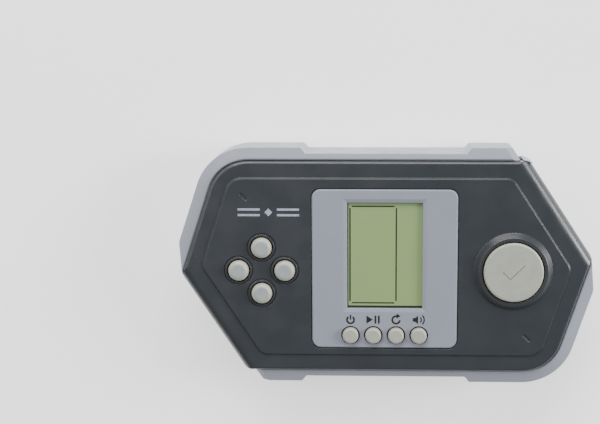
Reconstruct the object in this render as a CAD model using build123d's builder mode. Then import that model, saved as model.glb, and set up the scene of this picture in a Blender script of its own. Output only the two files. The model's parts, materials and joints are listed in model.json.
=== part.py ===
from build123d import *
import os
from math import atan2, cos, degrees, hypot, radians, sin

# Handheld LCD game.  Millimetres.  The game lies on its back: +Z is out of the face that the
# player looks at, +X runs along its length to the player's right, +Y points to its top edge.
# The origin is the middle of the back face.

# ---- case outline: a point-symmetric hexagon, seen from the front -------------------------
half_length = 71.0          # origin to each sharp side tip
half_height = 36.8          # origin to the top and bottom edge of the front shell
steep_run = 13.4            # length taken by a steep edge, from its corner to the side tip
shallow_run = 21.8          # length taken by a slanted edge
tip_y = 3.74                # the right tip's height above the middle; the left one is below it
steep_corner_radius = 14.0
shallow_corner_radius = 4.0
tip_radius = 2.0

steep_corner_x = half_length - steep_run        # on the top edge at the left, bottom at the right
shallow_corner_x = half_length - shallow_run    # on the bottom edge at the left, top at the right

# ---- bumper rim of the back shell ----------------------------------------------------------
rim_width_flat = 4.5        # rim outside the front shell along the top and bottom
rim_width_steep = 4.7       # and along the steep edges
rim_end_inset = 6.0         # where the rim's slanted end leaves its outer edge
rim_end_run = 2.9           # length that the slanted end takes
rim_end_bevel = 1.5         # bevel along the top of that slanted end
rim_end_radius = 1.0
rim_tip_y = 8.2             # the rim's own tip, away from the middle, on the steep side
rim_root_y = 3.3            # where the rim's tip face runs in under the front shell
rim_tip_radius = 3.0
grip_half_length = 27.8     # half of the shallow finger notch in the rim's top and bottom
grip_depth = 2.0
grip_run = 1.6              # length of the slanted step at each end of the notch
rim_fall = 1.2              # the rim's face falls this much towards its outer edge
seam_groove_width = 0.6     # groove of the rim beside the front shell
seam_groove_depth = 0.5

# ---- thicknesses and heights ----------------------------------------------------------------
board_to_land = 6.2         # from the board's upper face to the border of the front shell
panel_rise = 0.6            # the raised inner panel stands this far above the border
panel_bevel = 0.45
rim_drop = 1.5              # the rim is this far below the border
skirt_height = 4.4          # the front shell's skirt, down to where it meets the back shell
front_wall = 1.6
shell_wall = 2.2
back_floor = 2.2
back_round = 3.0            # rounding of the back shell's bottom edge
front_round = 1.0           # rounding of the front shell's top edge
shoulder_radius = 4.0       # large shoulder along the front shell's two slanted edges
seam_gap = 0.15
ledge_thickness = 2.0
lip_thickness = 1.0
lip_height = 1.5
tuck = 0.3                  # the back shell's wall stays this far inside a slanted edge
over = 1.0                  # a cut runs this far past the face that it opens through

panel_inset_flat = 5.6
panel_inset_steep = 5.4
panel_inset_shallow = 8.0
panel_steep_radius = 6.0
panel_shallow_radius = 4.0

# ---- screen ----------------------------------------------------------------------------------
plate_x, plate_y = -0.4, -0.55
plate_width = 50.2
plate_margin = 8.95         # from the top or bottom edge of the case to the plate, on average
plate_radius = 3.0
plate_thickness = 1.4
plate_proud = 0.3
plate_gap = 0.35
plate_bevel = 0.4
window_x, window_width = -0.3, 26.0
window_top_margin = 4.6     # plate above the window
window_low_margin = 14.1    # plate below it, with the row of keys
frame_margin = 1.3          # sloping frame round the window
frame_depth = 0.4
glass_border_x, glass_border_y = 3.0, 2.5     # glass beyond the window on each side
glass_thickness = 2.2
glass_play = 0.5            # round the glass, in the front shell's opening
film_thickness = 0.2
film_gap = 0.05             # between the film and the plate
film_margin = 1.8           # the films are this much smaller than the glass on each side
holder_wall = 1.2
holder_play = 0.2
holder_seat = 1.5           # ledge under the glass
holder_top_gap = 0.2
zebra_width = 1.8

# ---- circuit board ---------------------------------------------------------------------------
board_thickness = 1.6
board_clearance = 1.05      # over the battery bay
board_inset_flat = 9.8
board_inset_steep = 6.0
board_inset_shallow = 10.0
board_radius = 1.5

# ---- keys --------------------------------------------------------------------------------------
controls_y = -1.1           # the direction pad and the big button share this height
pad_inset = 28.1            # the left tip to the pad's centre
pad_key_radius = 3.55
pad_spread = 4.45           # the pad's centre to the near edge of each direction key
pad_hole_gap = 0.5
pad_key_rise = 2.3
pad_key_round = 1.6
pad_collar_width = 0.5
pad_collar_rise = 0.35
pad_groove_width = 0.6
pad_groove_depth = 0.4
pad_flange = 1.3
big_inset = 27.1            # the right tip to the big button's centre
big_key_radius = 10.3
big_hole_gap = 0.45
big_collar_top = 1.1        # flat width of the raised collar's top
big_collar_slope = 1.7
big_collar_rise = 1.6
big_key_rise = 0.9          # above the collar
big_flange = 1.5
big_key_wall = 1.6
big_key_round = 0.8
row_x = -0.3
row_margin = 4.6            # plate below the row of keys, to their centres
row_pitch = 7.9
row_key_radius = 2.75
row_hole_gap = 0.5
row_key_rise = 2.0
row_flange = 0.55
mark_length, mark_width, mark_depth = 3.3, 1.1, 0.25
mark_inset_x, mark_inset_y = 22.0, 12.2     # a small moulded slot in two corners of the panel
check_stroke, check_depth = 0.45, 0.25
check_points = [(-3.6, 0.1), (-1.2, -2.4), (3.7, 2.5)]
flange_thickness = 0.8
flange_gap = 0.1            # under the front shell, when the key is up
row_key_round = 0.85
plate_hole_play = 0.1       # the front shell's hole beyond the plate's, for each small key
key_foot_inset = 0.4        # the key's foot is this much smaller than its dome
dome_height = 2.75          # from the board to the top of a rubber dome
dome_gap = 0.05
mat_thickness = 0.8
mat_radius = 1.0
pad_mat_margin = 2.0        # mat beyond the outermost dome
pad_dome_radius = 3.2
big_mat_margin = 4.0
big_dome_radius = 5.0
row_mat_margin = 1.45
row_mat_width = 5.6
row_dome_radius = 2.2
dome_taper = 1.2

# ---- battery bay: two AAA cells side by side, with a door held by two screws ------------------
cell_radius = 5.25
cell_length = 44.5
cell_nub_radius = 1.9
cell_nub_length = 0.8
cell_round = 0.5
cell_gap = 0.7
cell_lift = 0.3             # above the door
bay_play = 0.35
bay_wall = 1.3
bay_roof = 1.2
spring_length = 4.2
spring_radius = 2.8
spring_wire = 0.6
spring_turns = 4
spring_bite = 0.1           # the spring's wire starts this deep in its plate
contact_thickness = 0.4
contact_margin = 0.6
contact_spread = 3.8        # the contact plates reach this far above and below the cell's axis
tag_length = 2.6
tag_width = 2.0
tag_rise = 2.0              # solder tags above the cell's axis
tag_play = 0.2
tag_slot_over = 0.5
door_thickness = 2.0
door_seat = 1.3             # ledge over the door
door_seat_gap = 0.1         # between the door and that ledge
door_bevel = 0.3
door_gap = 0.2
door_overlap = 1.9          # door beyond the bay wall along the long sides
door_screw_offset = 4.8     # screw centre beyond the bay's end
door_end = 3.6              # door beyond the screw centre
door_screw_boss_radius = 2.6
door_screw_boss_height = 5.0
door_screw_radius = 1.0
door_screw_length = 6.0
door_screw_head_radius = 1.9
door_screw_head_height = 1.1
door_screw_play = 0.2       # round the head and the shank, in the door
running_gap = 0.05
door_corner_radius = 1.0
door_seat_margin = 2.0      # the ledge over the door reaches this far past the opening
nail_notch_radius = 7.0
nail_notch_reach = 2.2
nail_notch_depth = 1.0

bay_floor_z = door_thickness + door_seat_gap
cell_z = door_thickness + cell_lift + cell_radius
cell_y = cell_radius + cell_gap / 2
bay_half_length = (cell_length + spring_length) / 2 + contact_thickness
bay_half_width = 2 * cell_radius + cell_gap / 2 + bay_play
bay_top_z = cell_z + cell_radius + bay_play
door_screw_x = bay_half_length + door_screw_offset
door_half_length = door_screw_x + door_end
door_half_width = bay_half_width + door_overlap

# ---- the stack of heights, from the bay up ------------------------------------------------------
board_bottom_z = bay_top_z + bay_roof + board_clearance
board_top_z = board_bottom_z + board_thickness
land_z = board_top_z + board_to_land    # outer border of the front shell
panel_z = land_z + panel_rise
rim_z = land_z - rim_drop
under_z = land_z - front_wall
split_z = land_z - skirt_height
mat_top_z = board_top_z + mat_thickness
dome_top_z = board_top_z + dome_height
key_foot_z = dome_top_z + dome_gap      # where a key rests on its rubber dome
plate_top_z = panel_z + plate_proud
plate_bottom_z = plate_top_z - plate_thickness
glass_top_z = plate_bottom_z - film_gap - film_thickness
glass_bottom_z = glass_top_z - glass_thickness

# ---- places that follow the outline -------------------------------------------------------------
plate_height = 2 * (half_height - plate_margin)
window_height = plate_height - window_top_margin - window_low_margin
window_y = plate_y + plate_height / 2 - window_top_margin - window_height / 2
row_y = plate_y - plate_height / 2 + row_margin
glass_width = window_width + 2 * glass_border_x
glass_height = window_height + 2 * glass_border_y
pad_x = pad_inset - half_length
big_x = half_length - big_inset
pad_pitch = pad_key_radius + pad_spread
mark_x, mark_y = half_length - mark_inset_x, half_height - mark_inset_y
rim_end_x = shallow_corner_x - rim_end_inset

# ---- screws -------------------------------------------------------------------------------------
boss_inset_steep = 10.6     # case screws, in from the corners and from the top and bottom
boss_inset_shallow = 9.7
boss_inset_corner = 6.6
boss_inset_middle = 6.4
boss_roof = 1.0             # front shell left over the end of a case screw
boss_radius = 2.9
back_boss_radius = 3.75
boss_meet_z = 12.0
case_screw_radius = 1.3
case_screw_length = 12.0
case_screw_head_radius = 2.5
case_screw_head_height = 1.9
case_screw_head_z = 3.0
case_screw_play = 0.25
head_play = 0.3
thread_gap = 0.02
driver_slot_share = 0.6     # of the head's radius, each way
driver_slot_width = 0.7
driver_slot_depth = 0.8
board_screw_x = 24.5
board_screw_high, board_screw_low = 15.8, 16.8      # board screws, in from the top and bottom
board_boss_roof = 0.6
board_hole_play = 0.3
board_boss_radius = 2.2
board_screw_radius = 0.9
board_screw_length = 4.6
board_screw_head_radius = 1.9
board_screw_head_height = 1.2

# ---- sounder, board parts and leads -------------------------------------------------------------
sounder_inset = 23.0        # the left tip to the sounder's centre
sounder_radius = 10.0
sounder_play = 0.15
sounder_ring_wall = 1.0
sounder_ring_height = 1.6
sounder_seat_width = 1.2
sounder_seat_height = 0.8
sounder_thickness = 0.3
ceramic_radius = 7.0
ceramic_thickness = 0.3
sound_hole_radius = 0.8
sound_hole_ring = 3.6
parts_y = 19.5              # the row of parts under the board's upper half
glob_x, glob_radius, glob_height, glob_round = 0.0, 4.6, 1.2, 0.95
resonator_x, resonator_size, resonator_round = -12.0, (5.5, 2.4, 3.0), 0.5
capacitor_x, capacitor_radius, capacitor_length, capacitor_round = 13.0, 2.5, 7.0, 0.4
resistor_size = (2.0, 1.25, 0.5)
resistor_first_x, resistor_y, resistor_pitch, resistor_count = -4.0, -18.0, 3.0, 5
lead_radius = 0.5
lead_bend = 1.6
lead_reach = 3.4            # the battery leads stand this far off their tags
sounder_lead_step = 3.0     # sideways step of the sounder's leads, and the first one's offset
sounder_lead_y = 2.0

# ---- strap eyelet at the upper right corner -----------------------------------------------------
eyelet_skin = 0.5           # the eyelet's block stands this far outside the front shell's corner
eyelet_slot = 0.7           # slot between the rim's slanted end and the block
eyelet_slot_depth = 3.4
eyelet_block_width = 5.0
eyelet_block_drop = 0.7     # how far the block reaches down the corner
eyelet_block_low = 8.0
eyelet_core_width = 6.0     # solid corner behind the slot
eyelet_core_height = 6.8
eyelet_bore_radius = 1.1
eyelet_z = 11.0


# ---- outlines -----------------------------------------------------------------------------------
corners = [
    (-steep_corner_x, half_height),
    (shallow_corner_x, half_height),
    (half_length, tip_y),
    (steep_corner_x, -half_height),
    (-shallow_corner_x, -half_height),
    (-half_length, -tip_y),
]


def edge_line(index, inset):
    """The hexagon's edge from corner index to the next, moved in, as (nx, ny, distance)."""
    x1, y1 = corners[index]
    x2, y2 = corners[(index + 1) % 6]
    length = hypot(x2 - x1, y2 - y1)
    nx, ny = (y1 - y2) / length, (x2 - x1) / length
    return nx, ny, nx * x1 + ny * y1 - inset


def meet(a, b):
    """The point where two lines cross."""
    det = a[0] * b[1] - a[1] * b[0]
    return (a[2] * b[1] - b[2] * a[1]) / det, (a[0] * b[2] - b[0] * a[2]) / det


def with_opposite(points):
    """The points, then the same ones turned half a turn about the middle."""
    return points + [(-x, -y, r) for x, y, r in points]


def hexagon(flat, steep, shallow, steep_radius, shallow_radius, side_radius):
    """The case hexagon with each kind of edge moved in by its own distance."""
    top, right, left = edge_line(0, flat), edge_line(1, shallow), edge_line(5, steep)
    low_right = edge_line(2, steep)
    return with_opposite([
        (*meet(left, top), steep_radius),
        (*meet(top, right), shallow_radius),
        (*meet(right, low_right), side_radius),
    ])


def outline(points):
    """A closed face from (x, y, radius) corners."""
    with BuildSketch(mode=Mode.PRIVATE) as face:
        with BuildLine():
            Polyline(*[(x, y) for x, y, r in points], close=True)
        make_face()
        for x, y, r in points:
            if r > 0:
                fillet(face.vertices().sort_by_distance((x, y, 0))[0], r)
    return face.sketch


front_face = outline(hexagon(0, 0, 0, steep_corner_radius, shallow_corner_radius, tip_radius))
panel_face = outline(hexagon(
    panel_inset_flat, panel_inset_steep, panel_inset_shallow,
    panel_steep_radius, panel_shallow_radius, panel_shallow_radius,
))
board_face = outline(hexagon(
    board_inset_flat, board_inset_steep, board_inset_shallow,
    board_radius, board_radius, board_radius,
))

# The rim follows the top, bottom and steep edges outside the front shell.  Along the slanted
# edges it runs inside the skirt, so that the front shell covers it there.
rim_top = edge_line(0, -rim_width_flat)
rim_hidden = edge_line(1, tuck)
rim_steep = edge_line(2, -rim_width_steep)
rim_top_y = half_height + rim_width_flat
rim_end_lean = rim_end_run / rim_width_flat
rim_tip_level = (0, 1, -rim_tip_y)
rim_root_level = (0, 1, rim_root_y)
rim_corner_radius = steep_corner_radius + rim_width_flat


def rim_end_at(y):
    """Where the rim's slanted end, or its line carried on inward, is at a height y."""
    return rim_end_x + rim_end_lean * (rim_top_y - y)


rim_face = outline(with_opposite([
    (*meet(edge_line(5, -rim_width_steep), rim_top), rim_corner_radius),
    (rim_end_x, rim_top_y, rim_end_radius),
    (rim_end_at(half_height - tuck), half_height - tuck, 0),
    (*meet(edge_line(0, tuck), rim_hidden), shallow_corner_radius - tuck),
    (*meet(rim_root_level, rim_hidden), 0),
    (*meet(rim_tip_level, rim_steep), rim_tip_radius),
]))


def moved(face, amount):
    """The face with its edge moved out by amount, or in if it is negative."""
    with BuildSketch(mode=Mode.PRIVATE) as grown:
        add(face)
        offset(amount=amount, kind=Kind.INTERSECTION)
    return grown.sketch


def prism(face, low, high, mode=Mode.ADD):
    """Extrudes a face between two heights into the part that is being built."""
    with BuildSketch(Plane.XY.offset(low), mode=Mode.PRIVATE) as base:
        add(face)
    extrude(base.sketch, amount=high - low, mode=mode)


def discs(points, radius, low, high, mode=Mode.ADD):
    """Upright cylinders of one radius at several points."""
    with BuildSketch(Plane.XY.offset(low), mode=Mode.PRIVATE) as base:
        with Locations(*points):
            Circle(radius)
    extrude(base.sketch, amount=high - low, mode=mode)


def block(x, y, width, height, low, high, radius=0, mode=Mode.ADD):
    """An upright block, with its corners rounded if radius is given."""
    with BuildSketch(Plane.XY.offset(low), mode=Mode.PRIVATE) as base:
        with Locations((x, y)):
            if radius > 0:
                RectangleRounded(width, height, radius)
            else:
                Rectangle(width, height)
    extrude(base.sketch, amount=high - low, mode=mode)


def save(part, name):
    part.label = name
    export_step(part, f"parts/{name}.step")


os.makedirs("parts", exist_ok=True)

corner_boss = (steep_corner_x - boss_inset_steep, half_height - boss_inset_corner)
shallow_boss = (shallow_corner_x - boss_inset_shallow, corner_boss[1])
middle_boss_y = half_height - boss_inset_middle
boss_points = [
    (-corner_boss[0], corner_boss[1]), (corner_boss[0], -corner_boss[1]),
    shallow_boss, (-shallow_boss[0], -shallow_boss[1]),
    (0, middle_boss_y), (0, -middle_boss_y),
]
board_screw_points = [
    (side * board_screw_x, y) for side in (1, -1)
    for y in (half_height - board_screw_high, board_screw_low - half_height)
]
sounder = (sounder_inset - half_length, 0)
pad_points = {
    "up": (pad_x, controls_y + pad_pitch),
    "down": (pad_x, controls_y - pad_pitch),
    "left": (pad_x - pad_pitch, controls_y),
    "right": (pad_x + pad_pitch, controls_y),
}
row_points = {
    name: (row_x + (place - 1.5) * row_pitch, row_y)
    for place, name in enumerate(["power", "pause", "reset", "sound"])
}
big_point = (big_x, controls_y)
pad_list, row_list = list(pad_points.values()), list(row_points.values())
skirt_inner = moved(front_face, -shell_wall)


# ---- front shell --------------------------------------------------------------------------------
def shoulder_cutter(sign):
    """What is cut away above the rounded shoulder of one slanted edge."""
    x1, y1 = corners[1]
    x2, y2 = corners[2]
    along = degrees(atan2(y2 - y1, x2 - x1))
    middle = Vector(sign * (x1 + x2) / 2, sign * (y1 + y2) / 2, land_z)
    out = Vector(sign * (y1 - y2), sign * (x2 - x1), 0).normalized()
    run = Vector(cos(radians(along)), sin(radians(along)), 0)
    reach = 2 * hypot(x2 - x1, y2 - y1)
    with BuildPart(mode=Mode.PRIVATE) as cutter:
        plane = Plane(origin=middle - run * reach / 2, x_dir=out, z_dir=run)
        up = 1 if plane.y_dir.Z > 0 else -1
        crown = shoulder_radius * (1 - cos(radians(45)))
        with BuildSketch(plane):
            with BuildLine():
                Line((-shoulder_radius, 0), (-shoulder_radius, up * over))
                Line((-shoulder_radius, up * over), (over, up * over))
                Line((over, up * over), (over, -up * shoulder_radius))
                Line((over, -up * shoulder_radius), (0, -up * shoulder_radius))
                ThreePointArc((0, -up * shoulder_radius), (-crown, -up * crown),
                              (-shoulder_radius, 0))
            make_face()
        extrude(amount=reach)
    return cutter.part


big_hole_radius = big_key_radius + big_hole_gap
big_collar_radius = big_hole_radius + big_collar_top
pad_hole_radius = pad_key_radius + pad_hole_gap
row_hole_radius = row_key_radius + row_hole_gap

with BuildPart() as front_shell:
    prism(front_face, split_z, land_z)
    fillet(front_shell.faces().sort_by(Axis.Z)[-1].edges(), front_round)
    add(shoulder_cutter(1), mode=Mode.SUBTRACT)
    add(shoulder_cutter(-1), mode=Mode.SUBTRACT)
    prism(panel_face, land_z - front_round, panel_z)
    chamfer(front_shell.faces().sort_by(Axis.Z)[-1].edges(), panel_bevel)
    prism(skirt_inner, split_z, under_z, Mode.SUBTRACT)
    # collar of the big button
    with BuildSketch(Plane.XY.offset(panel_z)):
        with Locations(big_point):
            Circle(big_collar_radius + big_collar_slope)
    extrude(amount=big_collar_rise, taper=degrees(atan2(big_collar_slope, big_collar_rise)))
    discs([big_point], big_hole_radius, split_z, panel_z + big_collar_rise + over, Mode.SUBTRACT)
    # direction keys: a groove, a low collar and a hole each
    groove_radius = pad_hole_radius + pad_collar_width + pad_groove_width
    discs(pad_list, groove_radius, panel_z - pad_groove_depth, panel_z, Mode.SUBTRACT)
    discs(pad_list, pad_hole_radius + pad_collar_width, panel_z - pad_groove_depth,
          panel_z + pad_collar_rise)
    discs(pad_list, pad_hole_radius, split_z, panel_z + over, Mode.SUBTRACT)
    # small moulded slots in two corners of the panel
    with BuildSketch(Plane.XY.offset(panel_z)):
        with Locations((-mark_x, mark_y), (mark_x, -mark_y)):
            SlotOverall(mark_length, mark_width, rotation=-45)
    extrude(amount=-mark_depth, mode=Mode.SUBTRACT)
    # recess for the screen plate, with openings for the glass and the small keys
    block(plate_x, plate_y, plate_width + 2 * plate_gap, plate_height + 2 * plate_gap,
          plate_bottom_z, panel_z + over, plate_radius + plate_gap, Mode.SUBTRACT)
    block(window_x, window_y, glass_width + 2 * glass_play, glass_height + 2 * glass_play,
          split_z, panel_z, 0, Mode.SUBTRACT)
    discs(row_list, row_hole_radius + plate_hole_play, split_z, panel_z, Mode.SUBTRACT)
    # bosses for the case screws and the board screws
    discs(boss_points, boss_radius, boss_meet_z, under_z)
    discs(boss_points, case_screw_radius + thread_gap, boss_meet_z, under_z - boss_roof,
          Mode.SUBTRACT)
    discs(board_screw_points, board_boss_radius, board_top_z, under_z)
    discs(board_screw_points, board_screw_radius + thread_gap, board_top_z,
          under_z - board_boss_roof, Mode.SUBTRACT)
save(front_shell.part, "front_shell")


# ---- back shell ---------------------------------------------------------------------------------
with BuildSketch(mode=Mode.PRIVATE) as lower_sketch:
    add(rim_face)
    add(moved(front_face, -tuck))
lower_face = lower_sketch.sketch
lip_outer = moved(front_face, -shell_wall - seam_gap)
lip_inner = moved(front_face, -shell_wall - seam_gap - lip_thickness)
slot_run = eyelet_slot * hypot(1, rim_end_lean)
slot_top, slot_foot = half_height + 2 * eyelet_skin, half_height - eyelet_slot_depth
eyelet_left = rim_end_at(half_height) + slot_run
door_screw_points = [(-door_screw_x, 0), (door_screw_x, 0)]


def rim_slope_cutter():
    """What is cut away over the rim's sloping face and its groove, along the upper left side."""
    foot, corner = Vector(*corners[5], 0), Vector(*corners[0], 0)
    start = foot - (corner - foot).normalized() * rim_width_steep
    end = (rim_end_at(half_height) + slot_run / 2, half_height)
    path = FilletPolyline(start, corner, end, radius=steep_corner_radius)
    reach = 2 * rim_width_steep
    fall = rim_fall * reach / rim_width_steep
    with BuildSketch(Plane(origin=path @ 0, z_dir=path % 0, x_dir=Vector(
            -(path % 0).Y, (path % 0).X, 0)), mode=Mode.PRIVATE) as section:
        with BuildLine():
            Polyline(
                (-over, rim_z + over), (-over, rim_z - seam_groove_depth),
                (seam_gap, rim_z - seam_groove_depth), (seam_gap + seam_groove_width, rim_z),
                (reach, rim_z - fall), (reach, rim_z + over), close=True,
            )
        make_face()
    with BuildPart(mode=Mode.PRIVATE) as cutter:
        sweep(section.sketch, path=path)
    return cutter.part


def rim_end_cutter():
    """What is cut away over the bevel of the rim's slanted end, at the upper right."""
    outer = Vector(rim_end_x, rim_top_y, rim_z - rim_fall)
    inner = Vector(rim_end_at(half_height), half_height, rim_z)
    run = (inner - outer).normalized()
    with BuildPart(mode=Mode.PRIVATE) as cutter:
        plane = Plane(origin=outer - run * rim_width_flat, z_dir=run,
                      x_dir=Vector(-run.Y, run.X, 0))
        up = 1 if plane.y_dir.Z > 0 else -1
        with BuildSketch(plane):
            with BuildLine():
                Polyline((-rim_end_bevel - over, up * over), (over, up * over),
                         (over, -up * (rim_end_bevel + over)), close=True)
            make_face()
        extrude(amount=(inner - outer).length + rim_width_flat)
    return cutter.part


slope, end_bevel = rim_slope_cutter(), rim_end_cutter()
with BuildPart() as back_shell:
    prism(lower_face, 0, split_z)
    prism(rim_face, split_z, rim_z)
    fillet(back_shell.faces().sort_by(Axis.Z)[0].edges(), back_round)
    # finger notches in the top and bottom of the rim
    for side in (1, -1):
        with BuildSketch(Plane.XY):
            with BuildLine():
                Polyline(
                    (-grip_half_length - grip_run, side * rim_top_y),
                    (-grip_half_length, side * (rim_top_y - grip_depth)),
                    (grip_half_length, side * (rim_top_y - grip_depth)),
                    (grip_half_length + grip_run, side * rim_top_y),
                    (grip_half_length + grip_run, side * (rim_top_y + over)),
                    (-grip_half_length - grip_run, side * (rim_top_y + over)),
                    close=True,
                )
            make_face()
        extrude(amount=rim_z, mode=Mode.SUBTRACT)
    # the rim's face falls towards its outer edge, and its slanted ends are bevelled
    for cut in (slope, end_bevel):
        add(cut, mode=Mode.SUBTRACT)
        add(cut.rotate(Axis.Z, 180), mode=Mode.SUBTRACT)
    # hollow, with a ledge all round that carries the front shell's skirt
    prism(moved(lower_face, -shell_wall), back_floor, split_z - ledge_thickness, Mode.SUBTRACT)
    prism(lip_inner, split_z - ledge_thickness, split_z + over, Mode.SUBTRACT)
    # strap eyelet: a solid corner and a block outside it, a slot beside them and a bore behind
    with BuildSketch(Plane.XY.offset(back_floor)):
        with Locations((shallow_corner_x, half_height)):
            Rectangle(2 * eyelet_core_width, 2 * eyelet_core_height)
        add(moved(front_face, -tuck), mode=Mode.INTERSECT)
    extrude(amount=split_z - back_floor)
    with BuildSketch(Plane.XY.offset(eyelet_block_low)):
        with Locations((eyelet_left, half_height - eyelet_block_drop)):
            Rectangle(eyelet_block_width, 2 * eyelet_block_drop, align=(Align.MIN, Align.MIN))
        add(moved(front_face, eyelet_skin), mode=Mode.INTERSECT)
    extrude(amount=rim_z - eyelet_block_low)
    with BuildSketch(Plane.XY.offset(back_round)):
        with BuildLine():
            Polyline(
                (rim_end_at(slot_top), slot_top), (rim_end_at(slot_top) + slot_run, slot_top),
                (rim_end_at(slot_foot) + slot_run, slot_foot), (rim_end_at(slot_foot), slot_foot),
                close=True,
            )
        make_face()
    extrude(amount=rim_z - back_round, mode=Mode.SUBTRACT)
    slanted = edge_line(1, 0)
    bore_y = slot_foot + eyelet_bore_radius
    bore_start = Vector(rim_end_at(bore_y) + slot_run / 2, bore_y, eyelet_z)
    with BuildSketch(Plane(origin=bore_start, z_dir=(slanted[0], slanted[1], 0))):
        Circle(eyelet_bore_radius)
    extrude(amount=2 * eyelet_core_width, mode=Mode.SUBTRACT)
    # recess that the front shell's skirt drops into, and the lip that locates it
    prism(moved(front_face, seam_gap), split_z, rim_z, Mode.SUBTRACT)
    with BuildSketch(Plane.XY.offset(split_z)):
        add(lip_outer)
        add(lip_inner, mode=Mode.SUBTRACT)
    extrude(amount=lip_height)
    # opening for the battery door, a ledge over it, the bay's walls and roof
    block(0, 0, 2 * (door_half_length + door_gap), 2 * (door_half_width + door_gap),
          0, back_floor, door_corner_radius + door_gap, Mode.SUBTRACT)
    block(0, 0, 2 * (door_half_length + door_seat_margin),
          2 * (door_half_width + door_seat_margin), bay_floor_z, bay_floor_z + door_seat)
    block(0, 0, 2 * (bay_half_length + bay_wall), 2 * (bay_half_width + bay_wall),
          bay_floor_z, bay_top_z + bay_roof)
    discs(door_screw_points, door_screw_boss_radius, bay_floor_z,
          bay_floor_z + door_screw_boss_height)
    block(0, 0, 2 * bay_half_length, 2 * bay_half_width, 0, bay_top_z, 0, Mode.SUBTRACT)
    discs(door_screw_points, door_screw_radius + running_gap, 0,
          bay_floor_z + door_screw_boss_height, Mode.SUBTRACT)
    for side in (1, -1):
        block(-bay_half_length - bay_wall / 2, side * cell_y, bay_wall + 2 * tag_slot_over,
              tag_width + 2 * tag_play, cell_z + tag_rise - tag_play,
              cell_z + tag_rise + contact_thickness + tag_play, 0, Mode.SUBTRACT)
    # bosses for the case screws, with counterbores for their heads
    discs(boss_points, back_boss_radius, back_floor / 2, boss_meet_z)
    head_seat_z = case_screw_head_z + case_screw_head_height
    discs(boss_points, case_screw_head_radius + head_play, 0, head_seat_z, Mode.SUBTRACT)
    discs(boss_points, case_screw_radius + case_screw_play, 0, boss_meet_z, Mode.SUBTRACT)
    # sounder ring with a seat for its disc, over a ring of sound holes
    discs([sounder], sounder_radius + sounder_play + sounder_ring_wall, back_floor / 2,
          back_floor + sounder_ring_height)
    discs([sounder], sounder_radius + sounder_play, back_floor + sounder_seat_height,
          back_floor + sounder_ring_height, Mode.SUBTRACT)
    discs([sounder], sounder_radius + sounder_play - sounder_seat_width, back_floor,
          back_floor + sounder_ring_height, Mode.SUBTRACT)
    with BuildSketch(Plane.XY):
        with Locations(sounder):
            Circle(sound_hole_radius)
            with PolarLocations(sound_hole_ring, 6):
                Circle(sound_hole_radius)
    extrude(amount=back_floor, mode=Mode.SUBTRACT)
save(back_shell.part, "back_shell")


# ---- screen -------------------------------------------------------------------------------------
with BuildPart() as screen_plate:
    block(plate_x, plate_y, plate_width, plate_height, plate_bottom_z, plate_top_z, plate_radius)
    chamfer(screen_plate.faces().sort_by(Axis.Z)[-1].edges(), plate_bevel)
    block(window_x, window_y, window_width, window_height, plate_bottom_z, plate_top_z, 0,
          Mode.SUBTRACT)
    with BuildSketch(Plane.XY.offset(plate_top_z)):
        with Locations((window_x, window_y)):
            Rectangle(window_width + 2 * frame_margin, window_height + 2 * frame_margin)
    extrude(amount=-frame_depth, taper=degrees(atan2(frame_margin, frame_depth)),
            mode=Mode.SUBTRACT)
    discs(row_list, row_hole_radius, plate_bottom_z, plate_top_z, Mode.SUBTRACT)
save(screen_plate.part, "screen_plate")

film_width = glass_width - 2 * film_margin
film_height = glass_height - 2 * film_margin
with BuildPart() as lcd_front_film:
    block(window_x, window_y, film_width, film_height, glass_top_z, glass_top_z + film_thickness)
save(lcd_front_film.part, "lcd_front_film")

with BuildPart() as lcd_glass:
    block(window_x, window_y, glass_width, glass_height, glass_bottom_z, glass_top_z)
save(lcd_glass.part, "lcd_glass")

zebra_y = window_y - film_height / 2 + zebra_width / 2
rear_film_height = film_height - 2 * zebra_width
with BuildPart() as lcd_rear_film:
    block(window_x, window_y + zebra_width, film_width, rear_film_height,
          glass_bottom_z - film_thickness, glass_bottom_z)
save(lcd_rear_film.part, "lcd_rear_film")

with BuildPart() as lcd_holder:
    holder_play_width = glass_width + 2 * holder_play
    holder_play_height = glass_height + 2 * holder_play
    block(window_x, window_y, holder_play_width + 2 * holder_wall,
          holder_play_height + 2 * holder_wall, board_top_z, under_z - holder_top_gap)
    block(window_x, window_y, holder_play_width, holder_play_height, glass_bottom_z,
          under_z, 0, Mode.SUBTRACT)
    block(window_x, window_y, glass_width - 2 * holder_seat, glass_height - 2 * holder_seat,
          board_top_z, glass_bottom_z, 0, Mode.SUBTRACT)
save(lcd_holder.part, "lcd_holder")

with BuildPart() as zebra_strip:
    block(window_x, zebra_y, film_width, zebra_width, board_top_z, glass_bottom_z)
save(zebra_strip.part, "zebra_strip")


# ---- circuit board and what is soldered under it ------------------------------------------------
with BuildPart() as main_board:
    prism(board_face, board_bottom_z, board_top_z)
    discs(board_screw_points, board_screw_radius + board_hole_play, board_bottom_z, board_top_z,
          Mode.SUBTRACT)
save(main_board.part, "main_board")

with BuildPart() as chip_glob:
    with Locations((glob_x, parts_y, board_bottom_z)):
        Cylinder(glob_radius, glob_height, align=(Align.CENTER, Align.CENTER, Align.MAX))
    fillet(chip_glob.faces().sort_by(Axis.Z)[0].edges(), glob_round)
save(chip_glob.part, "chip_glob")

with BuildPart() as ceramic_resonator:
    with Locations((resonator_x, parts_y, board_bottom_z)):
        Box(*resonator_size, align=(Align.CENTER, Align.CENTER, Align.MAX))
    fillet(ceramic_resonator.edges().filter_by(Axis.Y), resonator_round)
save(ceramic_resonator.part, "ceramic_resonator")

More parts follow.
